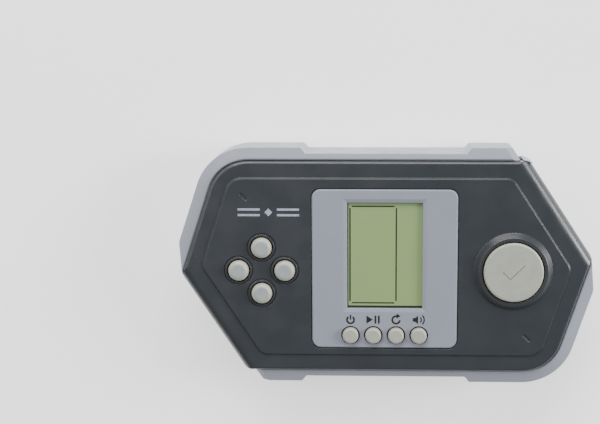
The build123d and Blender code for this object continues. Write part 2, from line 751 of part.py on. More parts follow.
with BuildPart() as smoothing_capacitor:
    capacitor_z = board_bottom_z - capacitor_radius
    with BuildSketch(Plane.YZ.offset(capacitor_x)):
        with Locations((parts_y, capacitor_z)):
            Circle(capacitor_radius)
    extrude(amount=capacitor_length)
    fillet(smoothing_capacitor.edges().filter_by(GeomType.CIRCLE), capacitor_round)
save(smoothing_capacitor.part, "smoothing_capacitor")

with BuildPart() as chip_resistors:
    with Locations(*[(resistor_first_x + place * resistor_pitch, resistor_y, board_bottom_z)
                     for place in range(resistor_count)]):
        Box(*resistor_size, align=(Align.CENTER, Align.CENTER, Align.MAX))
save(chip_resistors.part, "chip_resistors")


# ---- keys and the rubber mats under them --------------------------------------------------------
flange_top_z = under_z - flange_gap
flange_low_z = flange_top_z - flange_thickness


def key_cap(point, radius, flange_radius, foot_radius, top_z, rounding):
    """A round cap with a flange under the front shell and a foot over its rubber dome."""
    with BuildPart() as cap:
        discs([point], radius, flange_low_z, top_z)
        fillet(cap.faces().sort_by(Axis.Z)[-1].edges(), rounding)
        discs([point], flange_radius, flange_low_z, flange_top_z)
        discs([point], foot_radius, key_foot_z, flange_low_z)
    return cap.part


for name, point in pad_points.items():
    save(key_cap(point, pad_key_radius, pad_hole_radius + pad_flange,
                 pad_dome_radius - key_foot_inset, panel_z + pad_key_rise, pad_key_round),
         f"{name}_key")

for name, point in row_points.items():
    save(key_cap(point, row_key_radius, row_hole_radius + row_flange,
                 row_dome_radius - key_foot_inset, plate_top_z + row_key_rise, row_key_round),
         f"{name}_key")

big_top_z = panel_z + big_collar_rise + big_key_rise
with BuildPart() as confirm_key:
    discs([big_point], big_key_radius, flange_low_z, big_top_z)
    fillet(confirm_key.faces().sort_by(Axis.Z)[-1].edges(), big_key_round)
    discs([big_point], big_hole_radius + big_flange, flange_low_z, flange_top_z)
    discs([big_point], big_key_radius - big_key_wall, flange_low_z, big_top_z - big_key_wall,
          Mode.SUBTRACT)
    discs([big_point], big_dome_radius - big_key_wall, key_foot_z, big_top_z - big_key_wall)
    with BuildSketch(Plane.XY.offset(big_top_z)):
        with BuildLine():
            Polyline(*[(big_x + x, controls_y + y) for x, y in check_points])
        trace(line_width=check_stroke)
    extrude(amount=-check_depth, mode=Mode.SUBTRACT)
save(confirm_key.part, "confirm_key")


def dome(point, radius):
    """One hollow rubber dome, open to the board, added to the mat that is being built."""
    with Locations((*point, mat_top_z)):
        Cone(radius, radius - dome_taper / 2, dome_top_z - mat_top_z,
             align=(Align.CENTER, Align.CENTER, Align.MIN))
    discs([point], radius - dome_taper, board_top_z, mat_top_z + mat_thickness, Mode.SUBTRACT)


with BuildPart() as pad_mat:
    discs([(pad_x, controls_y)], pad_pitch + pad_dome_radius + pad_mat_margin, board_top_z,
          mat_top_z)
    for point in pad_list:
        dome(point, pad_dome_radius)
save(pad_mat.part, "pad_mat")

with BuildPart() as confirm_mat:
    discs([big_point], big_dome_radius + big_mat_margin, board_top_z, mat_top_z)
    dome(big_point, big_dome_radius)
save(confirm_mat.part, "confirm_mat")

with BuildPart() as row_mat:
    block(row_x, row_y, 3 * row_pitch + 2 * (row_dome_radius + row_mat_margin), row_mat_width,
          board_top_z, mat_top_z, mat_radius)
    for point in row_list:
        dome(point, row_dome_radius)
save(row_mat.part, "row_mat")


# ---- sounder ------------------------------------------------------------------------------------
sounder_z = back_floor + sounder_seat_height
with BuildPart() as sounder_disc:
    discs([sounder], sounder_radius, sounder_z, sounder_z + sounder_thickness)
save(sounder_disc.part, "sounder_disc")

ceramic_z = sounder_z + sounder_thickness
with BuildPart() as sounder_ceramic:
    discs([sounder], ceramic_radius, ceramic_z, ceramic_z + ceramic_thickness)
save(sounder_ceramic.part, "sounder_ceramic")


# ---- cells and their contacts -------------------------------------------------------------------
contact_face_x = bay_half_length - contact_thickness


def cell(side):
    """An AAA cell on one side of the bay; its flat end meets the spring, its nub the plate."""
    flat_x = -side * (contact_face_x - spring_length)
    with BuildPart() as body:
        with BuildSketch(Plane.YZ.offset(flat_x)):
            with Locations((side * cell_y, cell_z)):
                Circle(cell_radius)
        extrude(amount=side * (cell_length - cell_nub_length))
        fillet(body.edges().filter_by(GeomType.CIRCLE), cell_round)
        with BuildSketch(Plane.YZ.offset(flat_x + side * (cell_length - cell_nub_length))):
            with Locations((side * cell_y, cell_z)):
                Circle(cell_nub_radius)
        extrude(amount=side * cell_nub_length)
    return body.part


save(cell(1), "upper_cell")
save(cell(-1), "lower_cell")


def plate_at(side, y, width):
    """A contact plate against one end wall of the bay."""
    with Locations((side * (bay_half_length - contact_thickness / 2), y, cell_z)):
        Box(contact_thickness, width, 2 * contact_spread)


def coil(side, y):
    """A contact spring standing out from the plate at one end of the bay."""
    start = side * (contact_face_x - spring_wire / 2 + spring_bite)
    height = spring_length - spring_wire
    path = Helix(pitch=height / spring_turns, height=height, radius=spring_radius,
                 center=(start, y, cell_z), direction=(-side, 0, 0))
    with BuildSketch(Plane(origin=path @ 0, z_dir=path % 0), mode=Mode.PRIVATE) as wire:
        Circle(spring_wire / 2)
    sweep(wire.sketch, path=path, is_frenet=True)


def tag(y):
    """A solder tag through the bay's left wall."""
    with Locations((-contact_face_x, y, cell_z + tag_rise)):
        Box(contact_thickness + bay_wall + tag_length, tag_width, contact_thickness,
            align=(Align.MAX, Align.CENTER, Align.MIN))


plate_width_one = 2 * cell_radius - contact_margin
with BuildPart() as negative_contact:
    plate_at(-1, cell_y, plate_width_one)
    coil(-1, cell_y)
    tag(cell_y)
save(negative_contact.part, "negative_contact")

with BuildPart() as positive_contact:
    plate_at(-1, -cell_y, plate_width_one)
    tag(-cell_y)
save(positive_contact.part, "positive_contact")

with BuildPart() as link_contact:
    plate_at(1, 0, 2 * (cell_y + cell_radius) - contact_margin)
    coil(1, -cell_y)
save(link_contact.part, "link_contact")


# ---- battery door with its captive screws -------------------------------------------------------
with BuildPart() as battery_door:
    block(0, 0, 2 * door_half_length, 2 * door_half_width, 0, door_thickness, door_corner_radius)
    chamfer(battery_door.faces().sort_by(Axis.Z)[0].edges(), door_bevel)
    discs(door_screw_points, door_screw_head_radius + door_screw_play, 0,
          door_screw_head_height + door_screw_play, Mode.SUBTRACT)
    discs(door_screw_points, door_screw_radius + door_screw_play, 0, door_thickness,
          Mode.SUBTRACT)
    notch_x = door_half_length + nail_notch_radius - nail_notch_reach
    discs([(notch_x, 0)], nail_notch_radius, 0, nail_notch_depth, Mode.SUBTRACT)
save(battery_door.part, "battery_door")


# ---- screws -------------------------------------------------------------------------------------
def screws(points, head_radius, head_low_z, head_height, shank_radius, shank_length):
    """Identical screws with their heads down and a crossed driver slot in each head."""
    seat_z = head_low_z + head_height
    with BuildPart() as group:
        discs(points, head_radius, head_low_z, seat_z)
        discs(points, shank_radius, seat_z, seat_z + shank_length)
        with BuildSketch(Plane.XY.offset(head_low_z)):
            with Locations(*points):
                Rectangle(2 * driver_slot_share * head_radius, driver_slot_width)
                Rectangle(driver_slot_width, 2 * driver_slot_share * head_radius)
        extrude(amount=driver_slot_depth, mode=Mode.SUBTRACT)
    return group.part


save(screws(boss_points, case_screw_head_radius, case_screw_head_z, case_screw_head_height,
            case_screw_radius, case_screw_length), "case_screws")
save(screws(board_screw_points, board_screw_head_radius,
            board_bottom_z - board_screw_head_height, board_screw_head_height,
            board_screw_radius, board_screw_length), "board_screws")
save(screws(door_screw_points, door_screw_head_radius, door_screw_play, door_screw_head_height,
            door_screw_radius, door_screw_length), "door_screws")


# ---- leads --------------------------------------------------------------------------------------
def lead(points, bend):
    """A round lead along straight runs joined by arcs."""
    path = FilletPolyline(*points, radius=bend)
    with BuildPart() as wire:
        with BuildSketch(Plane(origin=path @ 0, z_dir=path % 0)):
            Circle(lead_radius)
        sweep(path=path)
    return wire.part


tag_end_x = -(bay_half_length + bay_wall + tag_length)
tag_z = cell_z + tag_rise + contact_thickness / 2
for side, name in ((-1, "red"), (1, "black")):
    y = side * cell_y
    save(lead([(tag_end_x, y, tag_z), (tag_end_x - lead_reach, y, tag_z),
               (tag_end_x - lead_reach, y, board_bottom_z)], lead_bend), f"battery_lead_{name}")

lead_low_z = sounder_z + (board_bottom_z - sounder_z) / 3
lead_high_z = sounder_z + (board_bottom_z - sounder_z) * 2 / 3
for x, y, z, name in (
    (sounder[0] + sounder_lead_step, sounder_lead_y, ceramic_z + ceramic_thickness, "red"),
    (sounder[0] + (ceramic_radius + sounder_radius) / 2, -sounder_lead_y, ceramic_z, "black"),
):
    far_x, far_y = x + sounder_lead_step, 2 * y
    save(lead([(x, y, z), (x, y, lead_low_z), (far_x, far_y, lead_high_z),
               (far_x, far_y, board_bottom_z)], lead_bend), f"sounder_lead_{name}")
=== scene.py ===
import json
import math

import bmesh
import bpy
from mathutils import Matrix, Vector


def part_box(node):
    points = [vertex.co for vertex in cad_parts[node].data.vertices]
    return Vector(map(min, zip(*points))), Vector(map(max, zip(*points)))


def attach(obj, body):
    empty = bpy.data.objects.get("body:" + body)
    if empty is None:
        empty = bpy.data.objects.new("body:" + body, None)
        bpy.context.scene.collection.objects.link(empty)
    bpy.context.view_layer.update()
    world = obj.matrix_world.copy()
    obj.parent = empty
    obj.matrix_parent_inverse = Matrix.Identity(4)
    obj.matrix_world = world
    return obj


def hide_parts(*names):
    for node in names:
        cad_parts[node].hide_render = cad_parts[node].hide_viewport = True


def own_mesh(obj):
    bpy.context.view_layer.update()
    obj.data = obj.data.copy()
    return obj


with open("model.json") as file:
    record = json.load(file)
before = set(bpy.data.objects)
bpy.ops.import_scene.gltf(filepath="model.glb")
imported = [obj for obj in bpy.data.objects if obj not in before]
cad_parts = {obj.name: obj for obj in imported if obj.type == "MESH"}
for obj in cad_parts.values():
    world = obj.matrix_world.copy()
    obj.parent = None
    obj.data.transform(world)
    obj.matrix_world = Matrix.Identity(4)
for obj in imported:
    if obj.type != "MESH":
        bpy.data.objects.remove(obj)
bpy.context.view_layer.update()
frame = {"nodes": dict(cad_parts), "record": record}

# Looks for a handheld LCD game that lies on its back.  The row frame is in metres.  Lengths in
# this file are written in millimetres, with the origin in the middle of the back face, and
# are scaled by MM where they are used.
MM = 0.001
nodes = frame["nodes"]


# ---- sizes taken from the frame --------------------------------------------------------------
def node_box(name):
    """A CAD node's lowest and highest corner, in millimetres."""
    low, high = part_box(name)
    return low / MM, high / MM


def node_middle(name):
    low, high = node_box(name)
    return (low + high) / 2


PLATE_TOP = node_box("screen_plate")[1].z
FILM_TOP = node_box("lcd_front_film")[1].z


# ---- node materials --------------------------------------------------------------------------
class Look:
    """A material on one Principled shader, with helpers that add nodes to it."""

    def __init__(self, name):
        self.material = bpy.data.materials.new(name)
        self.material.use_nodes = True
        self.tree = self.material.node_tree
        self.shader = self.tree.nodes["Principled BSDF"]
        self.place = self.node("ShaderNodeTexCoord").outputs["Object"]

    def node(self, kind, **values):
        made = self.tree.nodes.new(kind)
        for key, value in values.items():
            setattr(made, key, value)
        return made

    def plug(self, value, socket):
        """Links an output to a socket, or sets a constant on it."""
        if isinstance(value, bpy.types.NodeSocket):
            self.tree.links.new(value, socket)
        else:
            socket.default_value = value

    def set(self, name, value):
        self.plug(value, self.shader.inputs[name])

    def noise(self, size, detail=2.0, stretch=None):
        """Noise between 0 and 1 whose features are about size millimetres wide."""
        place = self.place
        if stretch:
            mapping = self.node("ShaderNodeMapping")
            mapping.inputs["Scale"].default_value = stretch
            self.plug(place, mapping.inputs["Vector"])
            place = mapping.outputs["Vector"]
        made = self.node("ShaderNodeTexNoise")
        made.inputs["Scale"].default_value = 1 / (size * MM)
        made.inputs["Detail"].default_value = detail
        self.plug(place, made.inputs["Vector"])
        return made.outputs["Fac"]

    def span(self, value, low, high, to_low=0.0, to_high=1.0):
        """Maps a range of a value to another range, smoothly and without going outside it."""
        made = self.node("ShaderNodeMapRange", interpolation_type="SMOOTHSTEP")
        self.plug(value, made.inputs["Value"])
        made.inputs["From Min"].default_value = low
        made.inputs["From Max"].default_value = high
        made.inputs["To Min"].default_value = to_low
        made.inputs["To Max"].default_value = to_high
        return made.outputs["Result"]

    def math(self, operation, a, b=0.0):
        made = self.node("ShaderNodeMath", operation=operation)
        self.plug(a, made.inputs[0])
        self.plug(b, made.inputs[1])
        return made.outputs["Value"]

    def mix(self, factor, a, b):
        made = self.node("ShaderNodeMix", data_type="RGBA")
        self.plug(factor, made.inputs[0])
        self.plug(a, made.inputs[6])
        self.plug(b, made.inputs[7])
        return made.outputs[2]

    def specks(self, spacing, radius, share):
        """A mask of small round specks on a share of the cells of a grid."""
        made = self.node("ShaderNodeTexVoronoi")
        made.inputs["Scale"].default_value = 1 / (spacing * MM)
        self.plug(self.place, made.inputs["Vector"])
        near = self.span(made.outputs["Distance"], radius / spacing, 0.6 * radius / spacing)
        picked = self.node("ShaderNodeSeparateColor")
        self.plug(made.outputs["Color"], picked.inputs[0])
        chosen = self.math("GREATER_THAN", picked.outputs[0], 1 - share)
        return self.math("MULTIPLY", near, chosen)

    def soft_edges(self, radius):
        """The surface direction with its edges rounded, and a mask of those edges."""
        bevel = self.node("ShaderNodeBevel", samples=8)
        bevel.inputs["Radius"].default_value = radius * MM
        flat = self.node("ShaderNodeNewGeometry").outputs["Normal"]
        made = self.node("ShaderNodeVectorMath", operation="DOT_PRODUCT")
        self.plug(bevel.outputs["Normal"], made.inputs[0])
        self.plug(flat, made.inputs[1])
        return bevel.outputs["Normal"], self.span(made.outputs["Value"], 0.995, 0.85)

    def bump(self, height, depth, normal=None):
        made = self.node("ShaderNodeBump")
        made.inputs["Strength"].default_value = 1.0
        made.inputs["Distance"].default_value = depth * MM
        self.plug(height, made.inputs["Height"])
        if normal is not None:
            self.plug(normal, made.inputs["Normal"])
        return made.outputs["Normal"]


def tint(red, green, blue):
    """A linear colour from 0-255 display values."""
    def linear(value):
        value /= 255
        return value / 12.92 if value < 0.04045 else ((value + 0.055) / 1.055) ** 2.4
    return (linear(red), linear(green), linear(blue), 1.0)


def scaled(colour, factor):
    return (colour[0] * factor, colour[1] * factor, colour[2] * factor, 1.0)


EDGE_PALE_GREY = (0.62, 0.63, 0.65, 1)
DUST_GREY = (0.5, 0.5, 0.5, 1)
DRIFT_SIZE, SMEAR_SIZE, RUB_SIZE = 14, 9, 3         # millimetres
DUST_SPACING, DUST_RADIUS = 9, 0.16


def plastic(name, colour, roughness=0.45, grain=0.35, grain_depth=0.012, mottle=0.06,
            edge_lightening=0.25, dust=0.0, specular=0.5, metallic=0.0, edge=0.25):
    """Moulded plastic: spark grain, slow colour drift, edges lightened in patches towards a pale
    grey, and specks of dust.
    """
    look = Look(name)
    drift = look.span(look.noise(DRIFT_SIZE, 3), 0.3, 0.7)
    body = look.mix(drift, scaled(colour, 1 - mottle), scaled(colour, 1 + mottle))
    fine = look.span(look.noise(grain, 2), 0.3, 0.7)
    body = look.mix(look.math("MULTIPLY", fine, 0.5), body, scaled(colour, 1.12))
    # the edges are lightened towards a pale grey in patches
    normal, rubbed = look.soft_edges(edge)
    lightened_edges = look.math("MULTIPLY", rubbed, look.span(look.noise(RUB_SIZE, 2), 0.35, 0.65, 0.3, 1))
    body = look.mix(look.math("MULTIPLY", lightened_edges, edge_lightening), body, EDGE_PALE_GREY)
    if dust > 0:
        specks = look.specks(DUST_SPACING, DUST_RADIUS, dust)
        body = look.mix(look.math("MULTIPLY", specks, 0.5), body, DUST_GREY)
    look.set("Base Color", body)
    look.set("Metallic", metallic)
    look.set("Specular IOR Level", specular)
    smear = look.span(look.noise(SMEAR_SIZE, 3), 0.3, 0.7, roughness - 0.05, roughness + 0.06)
    look.set("Roughness", smear)
    look.set("Normal", look.bump(look.noise(grain, 3), grain_depth, normal))
    return look.material


def metal(name, colour, roughness=0.3, brushed=None):
    """Plated or bare metal with fine scratches and a slight tarnish."""
    look = Look(name)
    tarnish = look.span(look.noise(4, 4), 0.35, 0.7)
    look.set("Base Color", look.mix(tarnish, colour, scaled(colour, 0.72)))
    look.set("Metallic", 1.0)
    scratches = look.noise(0.5, 3, stretch=brushed or (1, 1, 1))
    look.set("Roughness", look.span(scratches, 0.3, 0.7, roughness - 0.08, roughness + 0.12))
    look.set("Normal", look.bump(scratches, 0.006))
    return look.material


def board_look(name, colour, tracks):
    """Paper-phenolic board under solder mask, with the shadow of copper tracks."""
    look = Look(name)
    fibre = look.span(look.noise(0.6, 4, stretch=(1, 6, 1)), 0.3, 0.7)
    ground = look.mix(fibre, scaled(colour, 0.85), scaled(colour, 1.1))
    brick = look.node("ShaderNodeTexBrick")
    brick.inputs["Scale"].default_value = 60
    brick.inputs["Mortar Size"].default_value = 0.06
    look.plug(look.place, brick.inputs["Vector"])
    look.set("Base Color", look.mix(look.math("MULTIPLY", brick.outputs["Fac"], 0.6),
                                    ground, tracks))
    look.set("Roughness", look.span(look.noise(2, 3), 0.3, 0.7, 0.3, 0.5))
    look.set("Normal", look.bump(fibre, 0.01))
    return look.material


def print_ink(name, colour, roughness=0.5):
    """Screen-printed ink: slightly uneven cover and a matt, pitted surface."""
    look = Look(name)
    cover = look.span(look.noise(0.5, 3), 0.3, 0.7)
    look.set("Base Color", look.mix(cover, scaled(colour, 0.85), scaled(colour, 1.15)))
    look.set("Roughness", look.span(look.noise(0.3, 2), 0.3, 0.7, roughness, roughness + 0.15))
    look.set("Normal", look.bump(cover, 0.004))
    return look.material


def screen_look(name):
    """The display seen through its front film: grey-green, with a faint drift and sheen."""
    look = Look(name)
    drift = look.span(look.noise(16, 2), 0.3, 0.7)
    ground = look.mix(drift, (0.23, 0.31, 0.125, 1), (0.215, 0.315, 0.137, 1))
    fine = look.span(look.noise(0.35, 2), 0.3, 0.7)
    look.set("Base Color", look.mix(look.math("MULTIPLY", fine, 0.3), ground,
                                    (0.24, 0.335, 0.15, 1)))
    look.set("Roughness", look.span(look.noise(5, 2), 0.3, 0.7, 0.3, 0.38))
    look.set("Normal", look.bump(look.noise(0.4, 2), 0.002))
    return look.material


def rubber(name, colour):
    look = Look(name)
    drift = look.span(look.noise(5, 3), 0.3, 0.7)
    look.set("Base Color", look.mix(drift, scaled(colour, 0.9), scaled(colour, 1.08)))
    look.set("Roughness", look.span(look.noise(1.5, 3), 0.3, 0.7, 0.5, 0.65))
    look.set("Subsurface Weight", 0.1)
    look.set("Subsurface Scale", 0.5 * MM)
    look.set("Normal", look.bump(look.noise(0.3, 2), 0.01))
    return look.material


def key_look(name, flat, rounded):
    """Pale key plastic with painted light: a painted bluish reflection on the flat top, and a paler
    painted highlight on the rounding.
    """
    look = Look(name)
    upright = look.node("ShaderNodeSeparateXYZ")
    look.plug(look.node("ShaderNodeTexCoord").outputs["Normal"], upright.inputs[0])
    # painted light: the rounding, by the way it faces, takes the paler painted highlight colour,
    # and the flat top the painted reflection colour
    painted_light_share = look.span(upright.outputs["Z"], 0.9999, 0.8)
    drift = look.span(look.noise(4, 3), 0.3, 0.7)
    body = look.mix(drift, scaled(flat, 0.96), scaled(flat, 1.04))
    look.set("Base Color", look.mix(painted_light_share, body, rounded))
    look.set("Roughness", look.span(look.noise(2, 3), 0.3, 0.7, 0.36, 0.48))
    look.set("Subsurface Weight", 0.05)
    look.set("Subsurface Scale", 0.4 * MM)
    look.set("Normal", look.bump(look.noise(0.4, 2), 0.004))
    return look.material


charcoal = plastic("charcoal_abs_look", (0.024, 0.028, 0.033, 1), roughness=0.33, dust=0.35,
                   edge_lightening=0.05, specular=0.7)
rim_grey = plastic("grey_abs_look", (0.27, 0.285, 0.33, 1), roughness=0.4, edge_lightening=0.15,
                   mottle=0.03, dust=0.1, edge=0.5)
# the plate's edges are lightened all round into pale lines
plate_paint = plastic("plate_grey_look", (0.235, 0.25, 0.3, 1), roughness=0.36, edge_lightening=0.5,
                      mottle=0.025, edge=0.3)
# flat colours: the key plastic with a painted bluish reflection; rounded colours: the cream plastic
# lightened as a painted highlight
keys = key_look("key_cream_look", (0.34, 0.355, 0.31, 1), (0.42, 0.415, 0.34, 1))
direction_keys = key_look("direction_key_look", (0.29, 0.325, 0.33, 1), (0.45, 0.44, 0.36, 1))
display = screen_look("polariser_look")
steel = metal("screw_steel_look", (0.55, 0.56, 0.58, 1), 0.32)
plated = metal("contact_steel_look", (0.72, 0.72, 0.7, 1), 0.25)
brass = metal("brass_look", (0.78, 0.6, 0.27, 1), 0.28)
natural = plastic("natural_abs_look", tint(214, 208, 190), roughness=0.5, edge_lightening=0.1)
black_plastic = plastic("epoxy_look", tint(32, 32, 34), roughness=0.4, edge_lightening=0.05)
silicone = rubber("silicone_look", tint(120, 124, 128))
zebra = rubber("zebra_rubber_look", tint(92, 84, 96))

LOOKS = {
    "charcoal_abs": charcoal,
    "grey_abs": rim_grey,
    "plate_grey": plate_paint,
    "polariser": display,
    "lcd_glass": plastic("lcd_glass_look", tint(170, 180, 165), roughness=0.15, edge_lightening=0.0,
                         grain_depth=0.002),
    "reflector_film": metal("reflector_film_look", (0.7, 0.72, 0.7, 1), 0.3),
    "natural_abs": natural,
    "zebra_rubber": zebra,
    "phenolic_board": board_look("phenolic_board_look", tint(148, 106, 58),
                                 tint(112, 84, 44)),
    "epoxy": black_plastic,
    "resonator_blue": plastic("resonator_blue_look", tint(46, 86, 150), roughness=0.35),
    "capacitor_sleeve": plastic("capacitor_sleeve_look", tint(34, 40, 78), roughness=0.3),
    "resistor_black": plastic("resistor_black_look", tint(28, 28, 30), roughness=0.35),
    "silicone": silicone,
    "brass": brass,
    "piezo_ceramic": plastic("piezo_ceramic_look", tint(206, 198, 180), roughness=0.55),
    "cell_wrap": plastic("cell_wrap_look", tint(52, 92, 84), roughness=0.25, edge_lightening=0.1),
    "contact_steel": plated,
    "lead_red": rubber("lead_red_look", tint(168, 34, 30)),
    "lead_black": rubber("lead_black_look", tint(30, 30, 32)),
    "screw_steel": steel,
    "key_cream": keys,
}

for part in frame["record"]["subparts"]:
    node = nodes[part["node"]]
    for material_slot in node.material_slots:
        material_slot.material = LOOKS[part["material_slot"]]
for name in ("up_key", "down_key", "left_key", "right_key"):
    nodes[name].material_slots[0].material = direction_keys


def meshed(name, mesh, material, body):
    """An object made from a bmesh, with its material, material slot and body."""
    bmesh.ops.recalc_face_normals(mesh, faces=mesh.faces)
    data = bpy.data.meshes.new(name)
    mesh.to_mesh(data)
    mesh.free()
    data.materials.append(material)
    made = bpy.data.objects.new(name, data)
    bpy.context.scene.collection.objects.link(made)
    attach(made, body)
    return made


# ---- printed marks ---------------------------------------------------------------------------
PRINT_THICKNESS = 0.02


def printed(name, shapes, height, material):
    """Flat ink on a surface: closed outlines in millimetres, raised by the ink's thickness."""
    mesh = bmesh.new()
    for shape in shapes:
        face = mesh.faces.new([mesh.verts.new((x * MM, y * MM, height * MM)) for x, y in shape])
        raised = bmesh.ops.extrude_face_region(mesh, geom=[face])["geom"]
        verts = [v for v in raised if isinstance(v, bmesh.types.BMVert)]
        bmesh.ops.translate(mesh, verts=verts, vec=(0, 0, PRINT_THICKNESS * MM))
    return meshed(name, mesh, material, "case")


def bar(x1, y1, x2, y2):
    return [(x1, y1), (x2, y1), (x2, y2), (x1, y2)]


def arc(x, y, radius, width, start, end, steps=24):
    """A curved stroke, as one closed outline."""
    angles = [math.radians(start + (end - start) * i / steps) for i in range(steps + 1)]
    outer, inner = radius + width / 2, radius - width / 2
    return ([(x + outer * math.cos(a), y + outer * math.sin(a)) for a in angles]
            + [(x + inner * math.cos(a), y + inner * math.sin(a)) for a in reversed(angles)])


def place(shapes, x, y, scale):
    return [[(x + scale * px, y + scale * py) for px, py in shape] for shape in shapes]


black_ink = print_ink("label_ink_look", tint(12, 12, 15))
# this dark ink prints the display's segments and also draws the painted shadow strip along the
# window
segment_and_shadow_ink = print_ink("segment_and_shadow_look", tint(28, 31, 30), roughness=0.35)
pale_ink = print_ink("ornament_ink_look", tint(150, 157, 172))

LABEL_Y = -18.25
LABEL_STROKE = 0.5
LABEL_SCALE = 1.25
power_icon = [arc(0, -0.1, 1.0, LABEL_STROKE, 125, 415), bar(-0.21, -0.05, 0.21, 1.3)]
pause_icon = [
    [(-1.9, -1.15), (-0.1, 0), (-1.9, 1.15)],
    bar(0.35, -1.15, 0.85, 1.15),
    bar(1.3, -1.15, 1.8, 1.15),
]
reset_icon = [
    arc(0, -0.05, 1.05, LABEL_STROKE, 75, 355),
    [(0.15, 0.35), (0.15, 1.75), (1.25, 1.05)],
]
sound_icon = [
    [(-1.7, -0.5), (-1.1, -0.5), (-0.2, -1.2), (-0.2, 1.2), (-1.1, 0.5), (-1.7, 0.5)],
    arc(-0.3, 0, 1.0, 0.36, -45, 45, 12),
    arc(-0.3, 0, 1.8, 0.36, -45, 45, 16),
]
for key, icon in (("power", power_icon), ("pause", pause_icon),
                  ("reset", reset_icon), ("sound", sound_icon)):
    middle = node_middle(key + "_key")
    printed(key + "_label", place(icon, middle.x, LABEL_Y, LABEL_SCALE), PLATE_TOP, black_ink)

FIELD_LEFT, FIELD_RIGHT = -12.35, 3.6
FIELD_LOW, FIELD_TOP = -12.6, 21.3
FIELD_STROKE = 0.46
FIELD_GAP = 0.6
printed("playfield_lines", [
    bar(FIELD_LEFT - FIELD_STROKE / 2, FIELD_LOW + FIELD_GAP,
        FIELD_LEFT + FIELD_STROKE / 2, FIELD_TOP - FIELD_GAP),
    bar(FIELD_RIGHT - FIELD_STROKE / 2, FIELD_LOW + FIELD_GAP,
        FIELD_RIGHT + FIELD_STROKE / 2, FIELD_TOP - FIELD_GAP),
    bar(FIELD_LEFT + FIELD_GAP, FIELD_TOP - FIELD_STROKE / 2,
        FIELD_RIGHT - FIELD_GAP, FIELD_TOP + FIELD_STROKE / 2),
    bar(FIELD_LEFT + FIELD_GAP, FIELD_LOW - FIELD_STROKE / 2,
        FIELD_RIGHT - FIELD_GAP, FIELD_LOW + FIELD_STROKE / 2),
], FILM_TOP, segment_and_shadow_ink)

# painted shadow: a dark strip on the display along the left and the bottom of the window, where the
# window's edge shades it
WINDOW_LEFT, WINDOW_RIGHT = -13.3, 12.7
WINDOW_LOW, WINDOW_TOP = -14.3, 22.7
SHADOW_SIDE, SHADOW_FOOT = 0.35, 0.75
SHADOW_UNDER = 0.5            # the painted shadow strip runs this far under the plate
printed("display_painted_shadow", [
    bar(WINDOW_LEFT - SHADOW_UNDER, WINDOW_LOW, WINDOW_LEFT + SHADOW_SIDE, WINDOW_TOP),
    bar(WINDOW_LEFT + SHADOW_SIDE, WINDOW_LOW - SHADOW_UNDER, WINDOW_RIGHT, WINDOW_LOW + SHADOW_FOOT),
], FILM_TOP, segment_and_shadow_ink)

ORNAMENT_LEFT, ORNAMENT_RIGHT = -51.0, -29.8
ORNAMENT_LOW, ORNAMENT_HIGH = 17.9, 20.6
ORNAMENT_STROKE = 0.75
PLATE_PROUD = 0.3           # the screen plate stands this far above the panel
diamond_x = (ORNAMENT_LEFT + ORNAMENT_RIGHT) / 2
diamond_y = (ORNAMENT_LOW + ORNAMENT_HIGH) / 2
diamond = (ORNAMENT_HIGH - ORNAMENT_LOW) / 2
DIAMOND_GAP = 1.6
ornament = [[(diamond_x - diamond, diamond_y), (diamond_x, ORNAMENT_LOW),
             (diamond_x + diamond, diamond_y), (diamond_x, ORNAMENT_HIGH)]]
for side in (-1, 1):
    for low in (ORNAMENT_LOW, ORNAMENT_HIGH - ORNAMENT_STROKE):
        inner = diamond_x + side * (diamond + DIAMOND_GAP)
        outer = diamond_x + side * (ORNAMENT_RIGHT - ORNAMENT_LEFT) / 2
        ornament.append(bar(inner, low, outer, low + ORNAMENT_STROKE))
printed("panel_ornament", ornament, PLATE_TOP - PLATE_PROUD, pale_ink)


# ---- rubber mats with domes ------------------------------------------------------------------
MAT_THICKNESS = 0.8
MAT_EDGE = 0.15             # rounding of the mat's edges
ROW_MAT_CORNER = 1.0
DOME_WALL = 1.2             # at the foot, round the hollow
DOME_TAPER = 0.6
DOME_FOOT = 0.25            # height of the upright foot
DOME_ROUND = 0.35
HOLLOW_HEIGHT = 0.8         # above the mat
PILL_INSET, PILL_HEIGHT = 0.45, 0.2         # the contact pill under the dome's plunger
MATS = {                    # dome radius, key travel, and the keys over each mat
    "pad_mat": (3.2, 1.2, ("up", "down", "left", "right")),
    "confirm_mat": (5.0, 1.2, ("confirm",)),
    "row_mat": (2.2, 1.0, ("power", "pause", "reset", "sound")),
}


def loop(x, y, width, height, radius, steps=12):
    """Points round a rectangle with rounded corners."""
    points = []
    for corner, (side_x, side_y) in enumerate(((1, 1), (-1, 1), (-1, -1), (1, -1))):
        for i in range(steps + 1):
            angle = math.radians(90 * (corner + i / steps))
            points.append((
                round(x + side_x * (width / 2 - radius) + radius * math.cos(angle), 5),
                round(y + side_y * (height / 2 - radius) + radius * math.sin(angle), 5),
            ))
    return list(dict.fromkeys(points))


def sheet(name, outline, holes, low):
    """The flat sheet of a key mat, with rounded edges and a hole under each dome."""
    curve = bpy.data.curves.new(name, "CURVE")
    curve.dimensions = "2D"
    curve.fill_mode = "BOTH"
    curve.extrude = (MAT_THICKNESS / 2 - MAT_EDGE) * MM
    curve.bevel_depth = MAT_EDGE * MM
    curve.bevel_resolution = 2
    curve.offset = -MAT_EDGE * MM
    for points in (outline, *holes):
        spline = curve.splines.new("POLY")
        spline.points.add(len(points) - 1)
        for point, (x, y) in zip(spline.points, points):
            point.co = (x * MM, y * MM, 0, 1)
        spline.use_cyclic_u = True
    mesh = bmesh.new()
    mesh.from_mesh(bpy.data.meshes.new_from_object(bpy.data.objects.new(name, curve)))
    bmesh.ops.remove_doubles(mesh, verts=mesh.verts, dist=0.001 * MM)
    bmesh.ops.translate(mesh, verts=mesh.verts, vec=(0, 0, (low + MAT_THICKNESS / 2) * MM))
    return meshed(name, mesh, silicone, "case")


